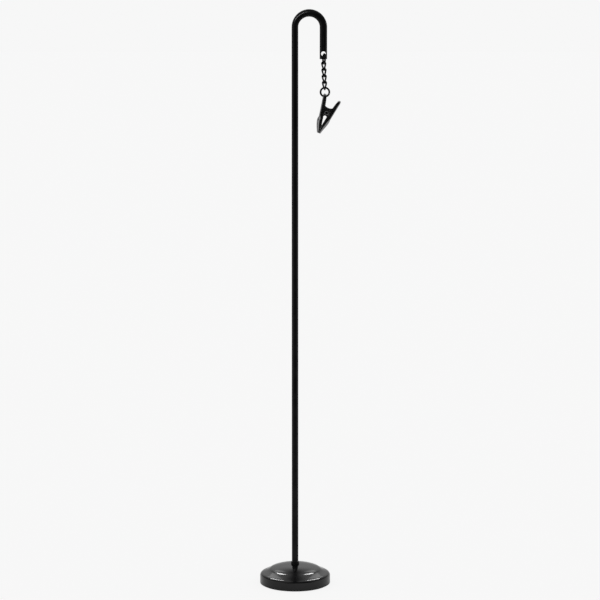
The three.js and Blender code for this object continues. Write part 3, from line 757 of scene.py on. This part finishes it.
def buildLever(name, s, lever):
    rows = leverRows(s, lever)
    lip = [row for row in rows if row[0] < s["lipThick"] - s["jaw"]]
    channel = rows[len(lip):]
    rings = [leverRing(s, lever, z, back, True) for z, back in lip + channel[:1]]
    rings += [leverRing(s, lever, z, back, False) for z, back in channel]
    obj = skinLever(name, rings)
    drill = pinDrill(s)
    if lever["hangs"]:
        other = hangDrill(s, lever)
        pick(drill)
        other.select_set(True)
        bpy.ops.object.join()
    cutWith(obj, drill)
    smoothShade(obj, s["smooth"])
    return obj


hangingJaw = buildLever("hangingJaw", clipShape, hangingLever)
dress(hangingJaw, clipBlack, "clip_plate", "hanging_jaw")
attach(hangingJaw, "clip")
pressJaw = buildLever("pressJaw", clipShape, pressLever)
dress(pressJaw, clipBlack, "clip_plate", "press_jaw")
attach(pressJaw, "press_jaw")

pinShape = {"shank": 1.0, "head": 1.8, "headHeight": 0.45, "headCorner": 0.1125, "under": 4.12, "flank": 0.08,
            "domeSteps": 10, "steps": 48, "smooth": 40}


def buildPin(s):
    # a rivet with a low domed head at each end
    low, top = s["under"] + s["flank"], s["under"] + s["headHeight"]
    dome = curvePoints((s["head"], low), (s["head"] - s["headCorner"], top), (0, top), s["domeSteps"])
    upper = [(s["shank"], s["under"]), (s["head"], s["under"])] + dome
    pin = turnedPiece("pivotRivet", [(r, -y) for r, y in upper[::-1]] + upper, s["steps"])
    setPlace(pin, alongY, pivot * mm)
    smoothShade(pin, s["smooth"])
    dress(pin, clipBlack, "clip_plate", "pivot_pin")
    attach(pin, "clip")


buildPin(pinShape)

springShape = {"wire": 0.7, "pitch": 1.16, "turns": 2, "toe": 1.05, "coil": 1.85, "seat": 9.3, "gap": 0.3,
               "kneeRound": 0.6, "kneeSteps": 8, "stepsPerTurn": 28, "roundness": 4, "smooth": 40}


def springLeg(s, seat, normal, y, coilStart):
    # from the bent toe over a round knee to the coil
    tip = seat - normal * s["gap"]
    knee = tip - normal * s["toe"]
    toToe = knee + normal * s["kneeRound"]
    toCoil = knee + (coilStart - knee).normalized() * s["kneeRound"]
    bend = [Vector(p) for p in curvePoints(toToe, knee, toCoil, s["kneeSteps"])]
    return [(p.x, y, p.y) for p in [tip] + bend]


def buildSpring(s, c):
    flare = math.radians(c["flare"])
    normal = Vector((math.cos(flare), -math.sin(flare)))
    seat = Vector((leverBack(c, s["seat"]) - c["wall"], s["seat"]))
    knee = seat - normal * (s["gap"] + s["toe"])
    legLean = math.atan2(knee.x, knee.y) - math.asin(s["coil"] / knee.length)
    sweep = (2 * s["turns"] + 1) * math.pi - 2 * legLean
    steps = round(sweep / (2 * math.pi) * s["stepsPerTurn"])
    half = s["pitch"] * sweep / (4 * math.pi)  # from the coil's middle to a leg
    coilStart = Vector((math.cos(-legLean), math.sin(-legLean))) * s["coil"]
    leg = springLeg(s, seat, normal, half, coilStart)
    coil = []
    for i in range(steps + 1):
        turn = -legLean - sweep * i / steps
        coil.append((s["coil"] * math.cos(turn), half - 2 * half * i / steps, s["coil"] * math.sin(turn)))
    line = leg + coil + [(-x, -y, z) for x, y, z in leg[::-1]]
    spring = drawnLine("torsionSpring", [clipPoint(*p) for p in line])
    pick(spring)
    bpy.ops.object.convert(target="CURVE")
    spring.data.dimensions = "3D"
    spring.data.bevel_depth = s["wire"] / 2 * mm
    spring.data.bevel_resolution = s["roundness"]
    spring.data.use_fill_caps = True
    bpy.ops.object.convert(target="MESH")
    spring = bpy.context.object
    cleanMesh(spring)
    smoothShade(spring, s["smooth"])
    dress(spring, springSteel, "spring_steel", "torsion_spring")
    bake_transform(spring)


buildSpring(springShape, clipShape)
print("clip ready")


# hidden pieces keep their solids and get their own finish

for node, finish in (("base_weight", castIron), ("base_screw", zincPlate), ("flat_washer", zincPlate),
                     ("lock_washer", zincPlate)):
    cadNodes[node].data.materials.clear()
    cadNodes[node].data.materials.append(finish)


# stage, light and camera

floorLook = {"tone": 0.93, "roughness": 0.95, "size": 160.0, "front": 0.45, "share": 0.9, "light": 0.956}


def buildFloor(s):
    # pale paper: mostly its own even white to the camera, so that it has no far edge, and it still takes the
    # shadow. It ends a little in front of the base
    clearSelection()
    bpy.ops.mesh.primitive_plane_add(size=s["size"], location=(0, s["size"] / 2 - s["front"], 0))
    floor = bpy.context.object
    floor.name = "paleFloor"
    finish = bpy.data.materials.new("palePaper")
    finish.use_nodes = True
    tree = finish.node_tree
    shader = tree.nodes["Principled BSDF"]
    shader.inputs["Base Color"].default_value = (s["tone"],) * 3 + (1,)
    shader.inputs["Roughness"].default_value = s["roughness"]
    shader.inputs["Specular IOR Level"].default_value = 0.0
    white = tree.nodes.new("ShaderNodeEmission")
    white.inputs["Strength"].default_value = s["light"]
    path = tree.nodes.new("ShaderNodeLightPath")
    share = tree.nodes.new("ShaderNodeMath")
    share.operation = "MULTIPLY"
    share.inputs[1].default_value = s["share"]
    mixed = tree.nodes.new("ShaderNodeMixShader")
    tree.links.new(path.outputs["Is Camera Ray"], share.inputs[0])
    tree.links.new(share.outputs["Value"], mixed.inputs["Fac"])
    tree.links.new(shader.outputs["BSDF"], mixed.inputs[1])
    tree.links.new(white.outputs["Emission"], mixed.inputs[2])
    tree.links.new(mixed.outputs["Shader"], tree.nodes["Material Output"].inputs["Surface"])
    floor.data.materials.append(finish)


roomLook = {"white": 0.93, "fill": 0.75, "dark": 0.012, "darkSide": (0.22, -0.97, 0), "darkEdge": (0.5, 0.8),
            "back": (0.56, 1.0), "backFoot": (0.25, 0.5), "side": (1.0, 0.32), "sideFoot": (0.08, 0.2),
            "corner": (0.4, 0.7), "ceiling": 1.0, "ceilingFoot": (0.58, 0.82), "gap": (0.02, 0.2)}


def addMix(tree, amount, one, other):
    mixed = tree.nodes.new("ShaderNodeMix")
    tree.links.new(amount, mixed.inputs["Factor"])
    tree.links.new(one, mixed.inputs["A"])
    tree.links.new(other, mixed.inputs["B"])
    return mixed


def buildRoom(s):
    # white all round and a little less as light. Reflections show a lit back wall, side walls that darken
    # upwards, a ceiling with a dark gap along its middle, and the dark half of the room behind the camera
    room = bpy.data.worlds.new("studio")
    scene.world = room
    room.use_nodes = True
    tree = room.node_tree
    backdrop = tree.nodes["Background"]
    path = tree.nodes.new("ShaderNodeLightPath")
    place = tree.nodes.new("ShaderNodeTexCoord")
    parts = tree.nodes.new("ShaderNodeSeparateXYZ")
    tree.links.new(place.outputs["Generated"], parts.inputs["Vector"])
    aside = tree.nodes.new("ShaderNodeMath")
    aside.operation = "ABSOLUTE"
    tree.links.new(parts.outputs["X"], aside.inputs[0])
    backWall = addRange(tree, parts.outputs["Z"], s["backFoot"], s["back"])
    sideWall = addRange(tree, parts.outputs["Z"], s["sideFoot"], s["side"])
    corner = addRange(tree, aside.outputs["Value"], s["corner"], (0, 1))
    wall = addMix(tree, corner.outputs["Result"], backWall.outputs["Result"], sideWall.outputs["Result"])
    ceiling = addRange(tree, aside.outputs["Value"], s["gap"], (s["dark"], s["ceiling"]))
    high = addRange(tree, parts.outputs["Z"], s["ceilingFoot"], (0, 1))
    upper = addMix(tree, high.outputs["Result"], wall.outputs["Result"], ceiling.outputs["Result"])
    facing = tree.nodes.new("ShaderNodeVectorMath")
    facing.operation = "DOT_PRODUCT"
    facing.inputs[1].default_value = s["darkSide"]
    tree.links.new(place.outputs["Generated"], facing.inputs[0])
    behind = addRange(tree, facing.outputs["Value"], s["darkEdge"], (1, 0))
    mirrored = tree.nodes.new("ShaderNodeMix")
    mirrored.inputs["A"].default_value = s["dark"]
    tree.links.new(behind.outputs["Result"], mirrored.inputs["Factor"])
    tree.links.new(upper.outputs["Result"], mirrored.inputs["B"])
    plain = addRange(tree, path.outputs["Is Diffuse Ray"], (0, 1), (s["white"], s["fill"]))
    level = addMix(tree, path.outputs["Is Glossy Ray"], plain.outputs["Result"], mirrored.outputs["Result"])
    backdrop.inputs["Color"].default_value = (1, 1, 1, 1)
    tree.links.new(level.outputs["Result"], backdrop.inputs["Strength"])


# two boxes and their soft glow that show in the cover, and a long strip that glints in the hook
lampList = (
    {"name": "leftBox", "glints": "coverShell", "at": (-0.851, 0.43, 1.526), "to": (0, 0, 0), "roll": -27.6,
     "size": (0.2, 0.9), "watts": 18},
    {"name": "rightBox", "glints": "coverShell", "at": (0.851, 0.43, 1.526), "to": (0, 0, 0), "roll": 27.6,
     "size": (0.2, 0.9), "watts": 18},
    {"name": "leftStrip", "glints": "hookedRod", "at": (-0.65, -1.0, 1.17), "to": (0, 0, 0.5), "roll": 0,
     "size": (1.25, 0.12), "watts": 20},
    {"name": "leftGlow", "glints": "coverShell", "at": (-0.55, 1.02, 1.1), "to": (0, 0, 0), "roll": 0,
     "size": (0.45, 0.45), "watts": 0.9},
    {"name": "rightGlow", "glints": "coverShell", "at": (0.55, 1.02, 1.1), "to": (0, 0, 0), "roll": 0,
     "size": (0.45, 0.45), "watts": 0.9},
)


def addLamp(s):
    clearSelection()
    bpy.ops.object.light_add(type="AREA", location=s["at"])
    lamp = bpy.context.object
    lamp.name = s["name"]
    lamp.data.shape = "RECTANGLE"
    lamp.data.size, lamp.data.size_y = s["size"]
    lamp.data.energy = s["watts"]
    lamp.visible_diffuse = False
    aim = (Vector(s["to"]) - Vector(s["at"])).to_track_quat("-Z", "Y")
    lamp.rotation_euler = (aim @ Quaternion((0, 0, 1), math.radians(s["roll"]))).to_euler()
    glinting = bpy.data.collections.new(s["name"] + "Glints")
    glinting.objects.link(bpy.data.objects[s["glints"]])
    lamp.light_linking.receiver_collection = glinting


cameraPlace = {"at": (0.00458, -1.9, 0.511), "pitch": 7.35, "lens": 125.4, "sensor": 36, "near": 0.05, "far": 50}


def addCamera(s):
    clearSelection()
    bpy.ops.object.camera_add(location=s["at"], rotation=(math.radians(90 - s["pitch"]), 0, 0))
    camera = bpy.context.object
    camera.name = "photoCamera"
    camera.data.lens = s["lens"]
    camera.data.sensor_width = s["sensor"]
    camera.data.clip_start = s["near"]
    camera.data.clip_end = s["far"]
    scene.camera = camera


buildFloor(floorLook)
buildRoom(roomLook)
for lampLook in lampList:
    addLamp(lampLook)
addCamera(cameraPlace)
scene.view_settings.view_transform = "Standard"
print("stage ready")
